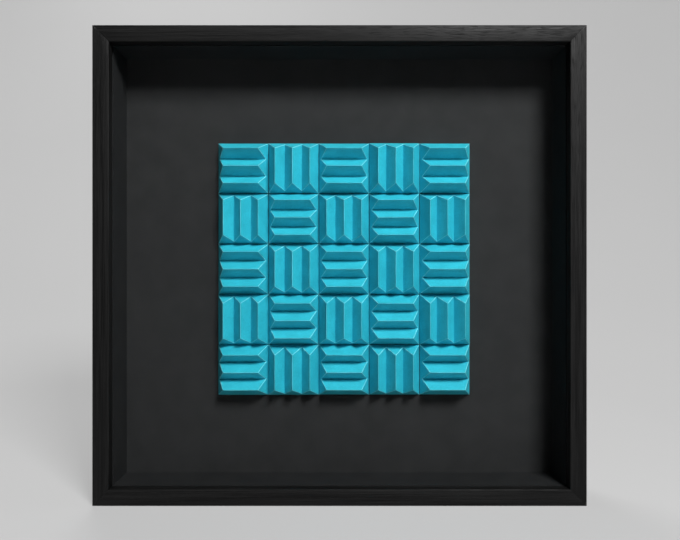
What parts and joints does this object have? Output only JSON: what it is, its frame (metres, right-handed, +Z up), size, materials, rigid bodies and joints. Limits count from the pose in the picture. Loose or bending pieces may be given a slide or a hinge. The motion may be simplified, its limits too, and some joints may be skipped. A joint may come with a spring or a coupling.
{
  "type": "framed folded paper relief",
  "caption": "Deep black wooden box frame with mitred corners, glass and black spacers, holding a turquoise folded-card relief on a black board; hangs on a wall or stands.",
  "frame": {"origin": "middle of the underside of the whole box, under the bottom rail", "axes": "+X along the width, to the right as seen from the front; the glass faces -Y and the wall side +Y; +Z up"},
  "size_m": [0.51, 0.0702, 0.496],
  "materials": {
    "frame_wood": "satin",
    "glazing": "polished",
    "spacer_board": "matte",
    "mount_board": "matte",
    "relief_card": "matte",
    "back_board": "matte",
    "steel": "satin",
    "bumper_rubber": "matte"
  },
  "bodies": {
    "root": {"back_panel": "back_board", "corner_v_nails": "steel", "frame_rail_bottom": "frame_wood", "frame_rail_left": "frame_wood", "frame_rail_right": "frame_wood", "frame_rail_top": "frame_wood", "glass_pane": "glazing", "hanger_nails": "steel", "mount_board": "mount_board", "panel_tabs": "steel", "relief_tile_01": "relief_card", "relief_tile_02": "relief_card", "relief_tile_03": "relief_card", "relief_tile_04": "relief_card", "relief_tile_05": "relief_card", "relief_tile_06": "relief_card", "relief_tile_07": "relief_card", "relief_tile_08": "relief_card", "relief_tile_09": "relief_card", "relief_tile_10": "relief_card", "relief_tile_11": "relief_card", "relief_tile_12": "relief_card", "relief_tile_13": "relief_card", "relief_tile_14": "relief_card", "relief_tile_15": "relief_card", "relief_tile_16": "relief_card", "relief_tile_17": "relief_card", "relief_tile_18": "relief_card", "relief_tile_19": "relief_card", "relief_tile_20": "relief_card", "relief_tile_21": "relief_card", "relief_tile_22": "relief_card", "relief_tile_23": "relief_card", "relief_tile_24": "relief_card", "relief_tile_25": "relief_card", "sawtooth_hanger_left": "steel", "sawtooth_hanger_right": "steel", "spacer_bottom": "spacer_board", "spacer_left": "spacer_board", "spacer_right": "spacer_board", "spacer_top": "spacer_board", "wall_bumper_left": "bumper_rubber", "wall_bumper_right": "bumper_rubber"}
  },
  "joints": []
}
